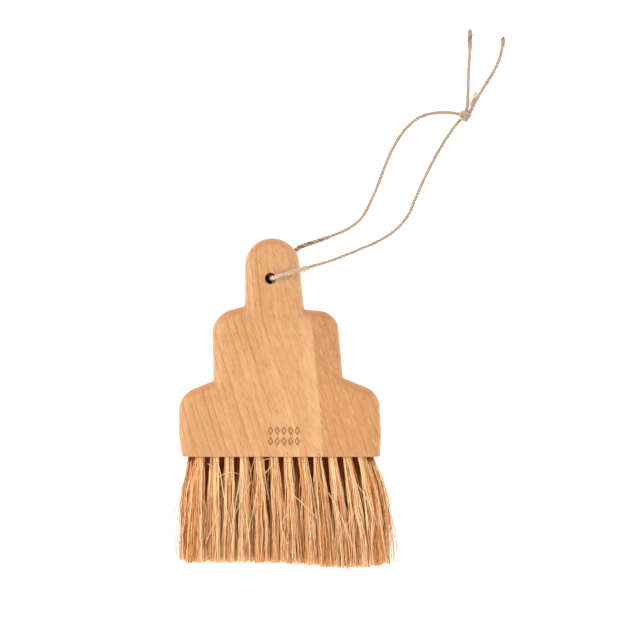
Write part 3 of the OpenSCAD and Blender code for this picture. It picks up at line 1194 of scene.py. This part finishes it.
@dataclass
class Bristles:
    """Three rows of palm fibre tufts and the stray fibres that lie across them."""

    face_y: float
    middle_z: float
    counts: dict[Row, int]
    pitch: float = 0.0084
    row_pitch: float = 0.0064
    field_x: float = -0.0032
    field_reach: float = 0.050
    fan: float = 1.12
    flare: tuple[float, float] = (1.35, 2.2)
    rise: float = 1.39
    root_radius: float = 0.0025
    tip_radius: tuple[float, float] = (0.0048, 0.0036)
    in_hole: float = 0.006
    fibres: int = 120
    clumps: int = 14
    thin: float = 0.00017
    thick: float = 0.00038
    crimp: float = 0.011
    cut_short: float = 0.08
    left_long: float = 0.03
    # How far out the roots of the rows behind are painted dark as shade, as a share of the reach.
    shaded: tuple[float, float] = (0.26, 0.44)
    stray_edge: float = 0.060
    stray_lift: float = 0.0012
    # Painted shade of single tufts behind the front row, as a share of their reach: long behind two gaps in
    # the front row, short at the ends of the rows.
    painted_shade_reach: dict[str, float] = field(
        default_factory=lambda: {
            "tuft_middle_1": 0.10,
            "tuft_middle_2": 0.82,
            "tuft_middle_10": 0.55,
            "tuft_middle_13": 0.10,
            "tuft_back_1": 0.10,
            "tuft_back_12": 0.10,
        }
    )
    rings: int = 19
    seed: int = 11

    def tufts(self) -> Iterator[tuple[Row, str, float, float]]:
        """Each tuft's row, node and place on the bristle face.

        Yields:
            The row, the node's name, and the tuft's x and z.
        """
        for row, count in self.counts.items():
            stem, step = row.value
            for i in range(1, count + 1):
                x = self.field_x + (i - (count + 1) / 2) * self.pitch
                yield row, f"{stem}{i}", x, self.middle_z + step * self.row_pitch

    def model(self, finish: bpy.types.Material) -> None:
        """Models and places every tuft and the strays.

        Args:
            finish: The fibre material.
        """
        blank = FibreBlank(self.rings)
        for number, (row, node, x, z) in enumerate(self.tufts()):
            rng = np.random.default_rng(self.seed + number)
            reach = self.face_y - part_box(node)[0].y
            # Only the rows behind the front one get painted shade at their roots.
            shaded = 0.0 if row is Row.FRONT else self.painted_shade_reach.get(node, rng.uniform(*self.shaded))
            piece = self.tuft(blank, rng, (x, z), reach, shaded)
            place_piece(piece, f"fibres_{node}", finish, Body.BRUSH, Slot.FIBRE, [node])
        place_piece(self.strays(), "stray_fibres", finish, Body.BRUSH, Slot.FIBRE)

    def tuft(
        self,
        blank: FibreBlank,
        rng: np.random.Generator,
        root: tuple[float, float],
        reach: float,
        shaded: float,
    ) -> bpy.types.Object:
        """Lays the fibres of one tuft.

        Args:
            blank: The fibre to copy.
            rng: The source of chance.
            root: The x and z of its hole.
            reach: How far its longest fibres reach from the block.
            shaded: How far out its roots are painted dark as shade, as a share of its reach.

        Returns:
            The tuft's object.
        """
        count = self.fibres
        at = np.linspace(0, 1, self.rings)
        inside = self.in_hole / (self.in_hole + reach)
        free = np.clip((at - inside) / (1 - inside), 0, 1)
        outer = min(1.0, abs(root[0] - self.field_x) / self.field_reach)
        inner_flare, outer_flare = self.flare
        out = 1 - (1 - free) ** (inner_flare + (outer_flare - inner_flare) * outer**4)
        angle = rng.uniform(0, 2 * math.pi, count)
        spread = np.sqrt(rng.uniform(0, 1, count))
        disc = np.stack([np.cos(angle), np.sin(angle)], axis=1) * spread[:, None]
        heart = disc[: self.clumps]
        clump = np.argmin(np.linalg.norm(disc[:, None] - heart[None], axis=2), axis=1)
        tip = self.tips(rng, disc, clump)
        centre = np.array(root)
        away = centre - [self.field_x, self.middle_z]
        target = np.array([self.fan, self.rise]) * away + [0, self.middle_z]
        way = centre * (1 - out[:, None]) + target * out[:, None]
        place = way[None] + (disc * self.root_radius)[:, None] * (1 - out)[None, :, None]
        place = place + tip[:, None] * out[None, :, None]
        crimps = (self.in_hole + reach) / self.crimp
        place += waves(rng, self.clumps, at, 0.0005, 0.6, 1.6)[clump]
        place += waves(rng, count, at, 0.00030, 1.2, 3.2)
        place += waves(rng, count, at, 0.00013, 0.7 * crimps, 1.2 * crimps)
        place += self.flyaway(rng, count, out)
        length = self.lengths(rng, clump) * reach
        radii = rng.uniform(self.thin, self.thick, (count, 1)) * (1 - 0.35 * at[None] ** 2)
        radii = radii * (1 + rng.normal(0, 0.10, (count, self.rings)))
        lines = np.empty((count, self.rings, 3))
        lines[:, :, 0] = place[:, :, 0]
        lines[:, :, 1] = self.face_y + self.in_hole - (self.in_hole + length)[:, None] * at[None]
        lines[:, :, 2] = np.maximum(place[:, :, 1], 0.0004)
        return blank.lay(lines, radii, self.tones(rng, disc, clump, free, shaded))

    def tips(self, rng: np.random.Generator, disc: np.ndarray, clump: np.ndarray) -> np.ndarray:
        """Where the fibres of a tuft end, gathered into clumps.

        Args:
            rng: The source of chance.
            disc: Where each fibre stands in its hole, on a disc of radius 1.
            clump: The clump that each fibre belongs to.

        Returns:
            Offsets from the tuft's middle, as fibres by two.
        """
        gather = rng.uniform(0.50, 0.92, self.clumps)[clump][:, None]
        tip = disc * (1 - gather) + disc[clump] * gather
        tip = tip * np.array(self.tip_radius) + rng.normal(0, 0.0007, (self.clumps, 2))[clump]
        return tip + rng.normal(0, 0.0008, tip.shape)

    def lengths(self, rng: np.random.Generator, clump: np.ndarray) -> np.ndarray:
        """Length of each fibre as a share of the tuft's reach, with a few cut short and a few left long.

        Args:
            rng: The source of chance.
            clump: The clump that each fibre belongs to.

        Returns:
            The lengths.
        """
        count = len(clump)
        length = 1 - np.abs(rng.normal(0, 0.008, self.clumps))[clump]
        length = length - np.abs(rng.normal(0, 0.014, count))
        length = np.where(rng.uniform(0, 1, count) < self.cut_short, rng.uniform(0.70, 0.96, count), length)
        return np.where(rng.uniform(0, 1, count) < self.left_long, rng.uniform(1.0, 1.025, count), length)

    def tones(
        self,
        rng: np.random.Generator,
        disc: np.ndarray,
        clump: np.ndarray,
        free: np.ndarray,
        shaded: float,
    ) -> np.ndarray:
        """Tone of each fibre of a tuft at each ring.

        Args:
            rng: The source of chance.
            disc: Where each fibre stands in its hole, on a disc of radius 1.
            clump: The clump that each fibre belongs to.
            free: How far out of the block each ring is, from 0 to 1.
            shaded: How far out the tuft's roots are painted dark as shade, as a share of its reach.

        Returns:
            Tones from 0 to 1, as fibres by rings.
        """
        count = len(clump)
        tone = 0.555 + rng.normal(0, 0.12, self.clumps)[clump]
        # Fibres low in the tuft are painted darker and high ones lighter: painted shade below, painted light
        # above.
        tone = tone + rng.normal(0, 0.20, count) + 0.20 * disc[:, 1]
        shades = np.clip(tone[:, None] + rng.normal(0, 0.05, (count, self.rings)), 0.12, 1)
        # Painted shade: the roots of the rows behind the front one darken towards the block.
        if shaded:
            own = shaded * rng.uniform(0.75, 1.15, (count, 1))
            shades *= 0.05 + 0.95 * np.clip((free[None] - 0.35 * own) / (0.65 * own), 0, 1) ** 1.5
        return shades

    def flyaway(self, rng: np.random.Generator, count: int, out: np.ndarray) -> np.ndarray:
        """Sideways drift of the few fibres that leave their tuft.

        Args:
            rng: The source of chance.
            count: How many fibres the tuft has.
            out: How far out each ring is, from 0 to 1.

        Returns:
            Offsets, as fibres by rings by two.
        """
        loose = (rng.uniform(0, 1, count) < 0.06)[:, None]
        drift = rng.normal(0, 1, (count, 2)) * np.array([0.0046, 0.0010]) * loose
        return drift[:, None] * out[None, :, None]

    def strays(self) -> bpy.types.Object:
        """Pale fibres that cross the others, and thin dark ones beside the rows.

        Returns:
            The strays' object.
        """
        rng = np.random.default_rng(self.seed - 1)
        at = np.linspace(0, 1, self.rings)
        start, bend, end = np.array(STRAYS).transpose(1, 0, 2)[:, :, None]
        along = at[None, :, None]
        lines = start * (1 - along) ** 2 + 2 * bend * along * (1 - along) + end * along**2
        count = len(lines)
        lines[:, :, 0] += rng.normal(0, 0.00008, (count, self.rings))
        beside = (np.abs(end[:, :, 0]) > self.stray_edge).astype(float)
        lines[:, :, 2] += self.stray_lift * (1 - beside)
        radii = rng.uniform(0.00018, 0.00028, (count, 1)) * (1 - 0.45 * beside)
        radii = radii * (1 - 0.4 * at[None] ** 2)
        shades = np.repeat(rng.uniform(0.75, 1.0, (count, 1)) * (1 - 0.68 * beside), self.rings, axis=1)
        return FibreBlank(self.rings).lay(lines, radii, shades)


# Stray fibres: where each starts among the others, the point that bends it, and its tip.
STRAYS = (
    ((0.0040, -0.0520, 0.0250), (0.0115, -0.0590, 0.0268), (0.0183, -0.0655, 0.0268)),
    ((-0.0165, -0.0470, 0.0245), (-0.0190, -0.0640, 0.0268), (-0.0229, -0.0784, 0.0264)),
    ((-0.0128, -0.0330, 0.0215), (-0.0120, -0.0450, 0.0262), (-0.0096, -0.0550, 0.0262)),
    ((0.0004, -0.0630, 0.0262), (-0.0015, -0.0665, 0.0272), (-0.0031, -0.0693, 0.0266)),
    ((-0.0031, -0.0693, 0.0266), (-0.0008, -0.0760, 0.0270), (0.0012, -0.0824, 0.0262)),
    ((-0.0450, -0.0345, 0.0205), (-0.0430, -0.0352, 0.0238), (-0.0405, -0.0380, 0.0225)),
    ((-0.0150, -0.0337, 0.0215), (-0.0110, -0.0302, 0.0238), (-0.0045, -0.0325, 0.0225)),
    ((-0.0390, -0.0427, 0.0215), (-0.0335, -0.0377, 0.0245), (-0.0275, -0.0402, 0.0225)),
    ((-0.0330, -0.0467, 0.0215), (-0.0290, -0.0447, 0.0248), (-0.0335, -0.0337, 0.0228)),
    ((-0.0120, -0.0400, 0.0240), (-0.0090, -0.0360, 0.0250), (-0.0060, -0.0330, 0.0225)),
    ((0.0500, -0.0347, 0.0170), (0.0555, -0.0477, 0.0190), (0.0649, -0.0664, 0.0200)),
    ((0.0510, -0.0397, 0.0140), (0.0590, -0.0617, 0.0150), (0.0660, -0.0824, 0.0150)),
    ((0.0520, -0.0487, 0.0200), (0.0580, -0.0707, 0.0215), (0.0632, -0.0869, 0.0210)),
    ((0.0530, -0.0527, 0.0100), (0.0600, -0.0727, 0.0090), (0.0665, -0.0890, 0.0085)),
    ((0.0500, -0.0427, 0.0180), (0.0580, -0.0647, 0.0190), (0.0620, -0.0837, 0.0185)),
    ((-0.0500, -0.0357, 0.0180), (-0.0560, -0.0487, 0.0200), (-0.0649, -0.0653, 0.0205)),
    ((-0.0505, -0.0387, 0.0120), (-0.0570, -0.0547, 0.0120), (-0.0622, -0.0617, 0.0115)),
    ((-0.0550, -0.0567, 0.0190), (-0.0605, -0.0727, 0.0200), (-0.0665, -0.0904, 0.0200)),
    ((-0.0560, -0.0607, 0.0100), (-0.0610, -0.0767, 0.0095), (-0.0650, -0.0912, 0.0090)),
    ((-0.0565, -0.0687, 0.0150), (-0.0620, -0.0807, 0.0150), (-0.0645, -0.0917, 0.0150)),
    ((-0.0540, -0.0600, 0.0210), (-0.0600, -0.0790, 0.0215), (-0.0655, -0.0880, 0.0205)),
    ((0.0240, -0.0507, 0.0225), (0.0335, -0.0667, 0.0268), (0.0390, -0.0847, 0.0264)),
    ((0.0430, -0.0567, 0.0230), (0.0360, -0.0647, 0.0268), (0.0290, -0.0797, 0.0264)),
    ((-0.0200, -0.0447, 0.0220), (-0.0280, -0.0567, 0.0264), (-0.0320, -0.0737, 0.0262)),
    ((-0.0380, -0.0620, 0.0245), (-0.0430, -0.0720, 0.0264), (-0.0460, -0.0800, 0.0262)),
    ((0.0390, -0.0447, 0.0215), (0.0480, -0.0547, 0.0255), (0.0520, -0.0697, 0.0250)),
)

FRONT_LEG = (
    (0.1014, 0.1645, 0.002), (0.0972, 0.1597, 0.0012), (0.0934, 0.1543, 0.001), (0.09, 0.1489, 0.001),
    (0.087, 0.1437, 0.001), (0.084, 0.1383, 0.001), (0.0813, 0.1329, 0.001), (0.0788, 0.1277, 0.001),
    (0.0764, 0.1222, 0.001), (0.0739, 0.1165, 0.001), (0.0716, 0.1107, 0.001), (0.0682, 0.1054, 0.001),
    (0.0642, 0.1008, 0.0011), (0.0594, 0.097, 0.002), (0.0541, 0.0938, 0.004), (0.0488, 0.0911, 0.007),
    (0.0434, 0.0889, 0.0106), (0.0382, 0.0865, 0.0145), (0.0328, 0.0843, 0.0183),
    (0.0274, 0.0822, 0.0216), (0.0218, 0.0803, 0.024), (0.016, 0.0786, 0.0253),
    (0.0102, 0.0769, 0.0256), (0.0044, 0.0752, 0.0256), (-0.0013, 0.0735, 0.0257),
    (-0.0045, 0.0726, 0.0258), (-0.0066, 0.072, 0.0252), (-0.0081, 0.0716, 0.0236),
    (-0.0087, 0.0714, 0.0214), (-0.0089, 0.0713, 0.0186), (-0.009, 0.0713, 0.016),
    (-0.009, 0.0713, 0.0133),
)
BACK_LEG = (
    (0.1012, 0.1667, 0.002), (0.097, 0.1674, 0.0012), (0.092, 0.1678, 0.001), (0.0865, 0.1676, 0.001),
    (0.081, 0.1666, 0.001), (0.0757, 0.1643, 0.001), (0.071, 0.1606, 0.001), (0.0669, 0.1559, 0.001),
    (0.0635, 0.1507, 0.001), (0.0606, 0.1453, 0.001), (0.0581, 0.1398, 0.001), (0.0559, 0.1342, 0.001),
    (0.0538, 0.1286, 0.001), (0.0516, 0.123, 0.001), (0.0492, 0.1175, 0.001), (0.0466, 0.1121, 0.001),
    (0.0434, 0.1069, 0.001), (0.0389, 0.1027, 0.001), (0.0338, 0.0996, 0.001), (0.0285, 0.0973, 0.001),
    (0.0232, 0.0953, 0.001), (0.0178, 0.0933, 0.001), (0.0122, 0.0916, 0.001), (0.0069, 0.0893, 0.001),
    (0.0024, 0.0853, 0.001), (-0.0012, 0.0811, 0.001), (-0.0042, 0.0772, 0.001),
    (-0.0066, 0.0742, 0.001), (-0.0079, 0.0726, 0.0016), (-0.0088, 0.0716, 0.0032),
    (-0.0091, 0.0713, 0.0054), (-0.0091, 0.0713, 0.008), (-0.009, 0.0713, 0.0108),
    (-0.009, 0.0713, 0.0133),
)
TAIL_LONG = (
    (0.1036, 0.1681, 0.002), (0.1047, 0.1723, 0.0012), (0.1049, 0.1783, 0.001),
    (0.1051, 0.1847, 0.001), (0.1054, 0.1913, 0.001), (0.1057, 0.1977, 0.001), (0.106, 0.2043, 0.001),
    (0.1061, 0.2103, 0.001), (0.1062, 0.2161, 0.001),
)
TAIL_SHORT = (
    (0.1058, 0.1677, 0.002), (0.1083, 0.1723, 0.0012), (0.1114, 0.1777, 0.001),
    (0.1146, 0.1831, 0.001), (0.118, 0.1885, 0.001), (0.1212, 0.1939, 0.001), (0.1234, 0.1995, 0.001),
    (0.1248, 0.2053, 0.001), (0.1257, 0.2115, 0.001),
)


class Frayed(NamedTuple):
    """Stretch of twine between two distances from its start in the hole, which is swollen and worn.

    Swell is the extra width in its middle as a share, and wear is 1 where dark and -1 where clean and pale.
    """

    start: float
    end: float
    swell: float
    wear: float


class Wisp(NamedTuple):
    """Small bundle of loose hairs, from one place to another."""

    start: Point
    end: Point
    count: int
    shade: float


WISPS = (
    Wisp((0.1064, 0.1715, 0.0012), (0.1098, 0.1793, 0.0014), 22, 0.95),
    Wisp((0.1082, 0.2128, 0.0010), (0.1096, 0.2110, 0.0010), 3, 0.0),
    Wisp((0.1068, 0.2065, 0.0010), (0.1080, 0.2034, 0.0010), 3, 0.0),
    Wisp((0.0096, 0.0786, 0.0256), (0.0108, 0.0766, 0.0258), 3, 0.0),
    Wisp((0.0108, 0.0758, 0.0258), (0.0096, 0.0712, 0.0256), 3, 0.0),
    Wisp((0.0116, 0.0744, 0.0256), (0.0160, 0.0768, 0.0256), 3, 0.0),
)


@dataclass
class HangingLoop:
    """Loop of three-ply jute twine through the hanging hole, its knot, its fuzz and its frayed tails.

    A ply's radius and its offset from the twine's middle are shares of the diameter, and no hair starts in
    the hidden run in the hole.
    """

    mouths: tuple[float, float]
    hole: tuple[float, float] = (-0.009, 0.0713)
    diameter: float = 0.0019
    plies: int = 3
    ply_radius: float = 0.295
    ply_offset: float = 0.27
    around: int = 9
    lay: float = 0.0062
    step: float = 0.0006
    knot: Point = (0.1030, 0.1658, 0.0034)
    knot_turn: float = math.radians(55)
    knot_radius: float = 0.0033
    knot_turns: float = 2.7
    hairs: int = 900
    hidden: float = 0.0125
    seed: int = 5

    def model(self, finish: bpy.types.Material, hair_finish: bpy.types.Material) -> None:
        """Args:
            finish: The twine material.
            hair_finish: The material of its loose hairs.
        """
        low, high = self.mouths
        front = [Frayed(0.008, 0.034, 0.22, -1.0), Frayed(0.2115, 0.2232, 0.42, 0.5)]
        back = [
            Frayed(0.029, 0.054, 0.30, 0.75),
            Frayed(0.1925, 0.1955, 0.35, 0.3),
            Frayed(0.2135, 0.2175, -0.35, 0.2),
            Frayed(0.2170, 0.2225, 0.35, 1.0),
        ]
        halves = (
            ("front", FRONT_LEG, TAIL_LONG, high, front, ["twine_front_leg", "twine_tail_long"]),
            ("back", BACK_LEG, TAIL_SHORT, low, back, ["twine_back_leg", "twine_tail_short"]),
        )
        turns = place_piece(
            self.windings(), "twine_knot_turns", finish, Body.LOOP, Slot.TWINE, ["twine_knot"]
        )
        for name, leg, tail, mouth, frayed, nodes in halves:
            line = self.smooth([*reversed(leg), *tail])
            cord = place_piece(
                self.twisted(line, frayed), f"twine_{name}", finish, Body.LOOP, Slot.TWINE, nodes
            )
            fuzz = place_piece(
                self.fuzz(line, frayed, WISPS if name == "front" else ()),
                f"twine_{name}_fuzz",
                hair_finish,
                Body.LOOP,
                Slot.TWINE,
            )
            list(self.hole)

    def smooth(self, route: Sequence[Point]) -> np.ndarray:
        """A smooth line through a route's points, with a point every step.

        Args:
            route: The route's points.

        Returns:
            The line's points.
        """
        points = np.array(route)
        points = np.vstack([2 * points[0] - points[1], points, 2 * points[-1] - points[-2]])
        fine = []
        for a, b, c, d in zip(points, points[1:], points[2:], points[3:]):
            count = max(2, int(np.linalg.norm(c - b) / self.step))
            for t in np.linspace(0, 1, count, endpoint=False):
                fine.append(
                    0.5 * (2 * b + (c - a) * t + (2 * a - 5 * b + 4 * c - d) * t**2
                           + (3 * b - a - 3 * c + d) * t**3)
                )
        return np.array([*fine, points[-2]])

    def carried(self, line: np.ndarray) -> tuple[np.ndarray, np.ndarray, np.ndarray]:
        """Directions along a line and two side vectors carried along it with no twist.

        Args:
            line: The line's points.

        Returns:
            The directions and the two side vectors at each point.
        """
        ahead = np.gradient(line, axis=0)
        ahead /= np.linalg.norm(ahead, axis=1, keepdims=True)
        side = np.empty_like(ahead)
        now = np.cross(ahead[0], [0.0, 1.0, 0.2])
        for i, direction in enumerate(ahead):
            now = now - direction * np.dot(now, direction)
            now /= np.linalg.norm(now)
            side[i] = now
        return ahead, side, np.cross(ahead, side)

    def twisted(self, line: np.ndarray, frayed: Sequence[Frayed]) -> bpy.types.Object:
        """Plies laid round each other along a line, wider where they are frayed and drawn in at the ends.

        Args:
            line: The line's points.
            frayed: The frayed stretches.

        Returns:
            The twine's object, with its UV map and the attribute wear.
        """
        rng = np.random.default_rng(self.seed)
        travel = self.travelled(line)
        _, side, up = self.carried(line)
        offset = self.diameter * self.ply_offset
        worn = sum((f.wear * self.bump(travel, f) for f in frayed), np.zeros_like(travel))
        swell = sum((f.swell * self.bump(travel, f) for f in frayed), np.zeros_like(travel))
        closed = np.clip((travel[-1] - travel) / 0.0009, 0, 1) ** 0.5
        uneven = np.interp(travel, travel[::4], rng.normal(0, 0.09, len(travel[::4])))
        points, faces, uvs = [], [], []
        for ply in range(self.plies):
            turn = 2 * math.pi * (ply / self.plies + travel / self.lay)
            spread = offset * (1 + swell + uneven) * (0.45 + 0.55 * closed)
            middle = line + (np.cos(turn) * spread)[:, None] * side + (np.sin(turn) * spread)[:, None] * up
            radius = self.diameter * self.ply_radius * (1 + rng.normal(0, 0.07, len(line)))
            radius = radius * (1 + 0.7 * swell) * (0.65 + 0.35 * closed)
            middle[:, 2] = np.maximum(middle[:, 2], radius + 0.00005)
            angle = turn[:, None] + 2 * math.pi * np.arange(self.around) / self.around
            out = np.cos(angle)[:, :, None] * side[:, None] + np.sin(angle)[:, :, None] * up[:, None]
            points.extend((middle[:, None] + radius[:, None, None] * out).reshape(-1, 3).tolist())
            self.skin(ply, travel / 0.001, faces, uvs)
        wear = np.tile(np.repeat(worn, self.around), self.plies)
        mesh = bpy.data.meshes.new("twine")
        mesh.from_pydata(points, [], faces)
        mesh.polygons.foreach_set("use_smooth", [True] * len(faces))
        mesh.uv_layers.new(name="ply").data.foreach_set("uv", np.array(uvs, dtype=np.float32).ravel())
        mesh.attributes.new("wear", "FLOAT", "POINT").data.foreach_set("value", wear.astype(np.float32))
        piece = bpy.data.objects.new("twine", mesh)
        bpy.context.collection.objects.link(piece)
        return piece

    def skin(self, ply: int, along: np.ndarray, faces: list, uvs: list) -> None:
        """Adds the faces of one ply's tube, with its two ends, and their places on the UV map.

        Args:
            ply: Which ply it is, from 0.
            along: Distance of each ring along the twine, in millimetres.
            faces: The faces so far.
            uvs: The UV places so far.
        """
        around = self.around
        base = ply * len(along) * around
        for i in range(len(along) - 1):
            for k in range(around):
                j = (k + 1) % around
                row, nxt = base + i * around, base + (i + 1) * around
                faces.append((row + k, row + j, nxt + j, nxt + k))
                u0, u1 = ply + k / around, ply + (k + 1) / around
                v0, v1 = along[i], along[i + 1]
                uvs.extend([(u0, v0), (u1, v0), (u1, v1), (u0, v1)])
        last = base + (len(along) - 1) * around
        faces.append(tuple(base + k for k in reversed(range(around))))
        faces.append(tuple(last + k for k in range(around)))
        uvs.extend([(ply, 0.0)] * around)
        uvs.extend([(ply, along[-1])] * around)

    def travelled(self, line: np.ndarray) -> np.ndarray:
        """Distance along a line to each of its points."""
        return np.concatenate([[0], np.cumsum(np.linalg.norm(np.diff(line, axis=0), axis=1))])

    def bump(self, travel: np.ndarray, frayed: Frayed) -> np.ndarray:
        """1 in the middle of a frayed stretch, falling to 0 at its ends.

        Args:
            travel: Distance along the twine to each point.
            frayed: The stretch.

        Returns:
            The share at each point.
        """
        share = np.clip((travel - frayed.start) / (frayed.end - frayed.start), 0, 1)
        return np.sin(math.pi * share) ** 0.7

    def windings(self) -> bpy.types.Object:
        """Turns of the overhand knot, wound round both halves and tucked in at each end.

        Returns:
            The knot's object.
        """
        share = np.linspace(0, 1, 90)
        ends = np.minimum(share, 1 - share)
        radius = (self.knot_radius - self.diameter / 2) * np.clip(0.35 + ends / 0.09, 0, 1)
        angle = 2 * math.pi * self.knot_turns * share + 0.6
        length = self.knot_turns * self.diameter * 0.98
        along = (share - 0.5) * length
        axis = np.array([math.cos(self.knot_turn), math.sin(self.knot_turn), 0.0])
        flat = np.array([-axis[1], axis[0], 0.0])
        line = np.array(self.knot) + along[:, None] * axis
        line = line + (radius * np.cos(angle))[:, None] * flat
        line[:, 2] += radius * np.sin(angle)
        return self.twisted(line, ())

    def fuzz(self, line: np.ndarray, frayed: Sequence[Frayed], wisps: Sequence[Wisp]) -> bpy.types.Object:
        """Fine hairs that stand off the twine, thicker where it is frayed, and its loose wisps.

        Args:
            line: The twine's own line.
            frayed: The frayed stretches.
            wisps: The bundles of loose hairs.

        Returns:
            The hairs' object.
        """
        rng = np.random.default_rng(self.seed + len(line))
        rings = 6
        travel = self.travelled(line)
        ahead, side, up = self.carried(line)
        chance = 1 + sum(9 * max(abs(f.swell), -f.wear) * self.bump(travel, f) for f in frayed)
        chance = np.where(travel < self.hidden, 0, chance)
        count = self.hairs
        start = rng.choice(len(line), count, p=chance / chance.sum())
        angle = rng.uniform(0, 2 * math.pi, count)
        out = np.cos(angle)[:, None] * side[start] + np.sin(angle)[:, None] * up[start]
        lean = rng.uniform(0.25, 1.0, (count, 1))
        curl = rng.normal(0, 0.6, (count, 3))
        length = rng.uniform(0.0010, 0.0036, (count, 1))
        at = np.linspace(0, 1, rings)[None, :, None]
        heading = ahead[start] * rng.choice([-1, 1], (count, 1))
        first = line[start] + out * self.diameter * 0.38
        lines = first[:, None] + at * (length * (heading + out * lean))[:, None]
        lines += at**2 * (length * curl * 0.5)[:, None]
        radii = rng.uniform(0.00005, 0.00009, (count, 1)) * (1 - 0.6 * at[:, :, 0])
        shades = np.repeat(rng.uniform(0.2, 1.0, (count, 1)), rings, axis=1)
        for wisp in wisps:
            loose = self.wisp(rng, wisp, at)
            lines = np.concatenate([lines, loose])
            radii = np.concatenate([radii, np.full(loose.shape[:2], 0.00009)])
            shades = np.concatenate([shades, np.full(loose.shape[:2], wisp.shade)])
        lines[:, :, 2] = np.maximum(lines[:, :, 2], 0.0001)
        return FibreBlank(rings).lay(lines, radii, shades)

    def wisp(self, rng: np.random.Generator, wisp: Wisp, at: np.ndarray) -> np.ndarray:
        """Lines of one wisp's hairs, which bow apart between their ends.

        Args:
            rng: The source of chance.
            wisp: The wisp.
            at: Places along a hair, from 0 to 1.

        Returns:
            The lines, as hairs by rings by three.
        """
        start, end = np.array(wisp.start), np.array(wisp.end)
        bow = rng.normal(0, 0.0006, (wisp.count, 1, 3)) * np.sin(math.pi * at)
        fan = rng.normal(0, 0.0005, (wisp.count, 1, 3)) * at
        return start + (end - start) * at + bow + fan


@dataclass
class Studio:
    """Camera straight above the brush, soft lights and a pale floor."""

    aim: tuple[float, float] = (0.01926, 0.0476)
    camera_height: float = 1.546
    lens: float = 150.0
    sensor: float = 36.0

    def set_camera(self) -> None:
        """Sets the camera over the brush, looking straight down."""
        alone()
        bpy.ops.object.camera_add(location=(*self.aim, self.camera_height), rotation=(0, 0, 0))
        camera = bpy.context.object
        camera.data.lens = self.lens
        camera.data.sensor_width = self.sensor
        camera.data.clip_start = 0.05
        bpy.context.scene.camera = camera

    def set_lights(self) -> None:
        """Sets a soft key light at the left, a weak fill at the right and a bright even surround."""
        self.panel("key", (-0.90, 0.15, 0.95), 0.8, 8.5)
        self.panel("fill", (0.95, -0.10, 0.90), 0.9, 2.0)
        world = bpy.data.worlds.new("white_room")
        world.use_nodes = True
        surround = world.node_tree.nodes["Background"]
        surround.inputs["Color"].default_value = (1.0, 1.0, 1.0, 1.0)
        surround.inputs["Strength"].default_value = 1.22
        bpy.context.scene.world = world
        bpy.context.scene.view_settings.view_transform = "Standard"

    def panel(self, name: str, place: Point, size: float, power: float) -> None:
        """Adds a square light panel that faces the brush.

        Args:
            name: Its name.
            place: Where it stands.
            size: Its side.
            power: Its power in watts.
        """
        alone()
        bpy.ops.object.light_add(type="AREA", location=place)
        panel = bpy.context.object
        panel.name = name
        panel.data.size = size
        panel.data.energy = power
        towards = Vector((*self.aim, 0.0)) - Vector(place)
        panel.rotation_euler = towards.to_track_quat("-Z", "Y").to_euler()

    def set_floor(self, hole: tuple[float, float]) -> None:
        """Lays the pale floor under the brush, with a painted shadow under the hanging hole, which stands at
        the given place.

        Args:
            hole: The x and y of the hanging hole.
        """
        alone()
        bpy.ops.mesh.primitive_plane_add(size=6.0, location=(0, 0, 0))
        floor = bpy.context.object
        floor.name = "floor"
        floor.data.materials.append(PaleFloor((*hole, 0.0)).dress())


def main() -> None:
    """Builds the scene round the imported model."""
    logging.basicConfig(level=logging.INFO, format="%(message)s")
    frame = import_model()
    names = frame["nodes"]
    low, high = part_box("handle_block")
    studio = Studio()
    studio.set_camera()
    loop = HangingLoop(mouths=(low.z, high.z))
    loop.model(JuteTwine().dress(), JuteHair().dress())
    counts = {row: sum(name.startswith(row.value[0]) for name in names) for row in Row}
    bristles = Bristles(face_y=low.y, middle_z=(low.z + high.z) / 2, counts=counts)
    block = HandleBlock(low, high, [(x, z) for _, _, x, z in bristles.tufts()])
    wood = OiledBeech(
        hole=(*block.hole_place, high.z),
        face_z=high.z,
        carving=block.carving(),
        carving_depth=block.groove_depth,
        specks=((-0.0605, -0.0187, 0.0217), (0.0444, 0.0027, 0.0243), (0.0221, 0.0449, 0.0243)),
    )
    place_piece(block.model(), "beech_block", wood.dress(), Body.BRUSH, Slot.WOOD, ["handle_block"])
    bristles.model(PalmFibre().dress())
    anchors = names["tuft_anchors"]
    anchors.data.materials.clear()
    anchors.data.materials.append(DrawnWire().dress())
    studio.set_lights()
    studio.set_floor(block.hole_place)


if __name__ == "__main__":
    main()
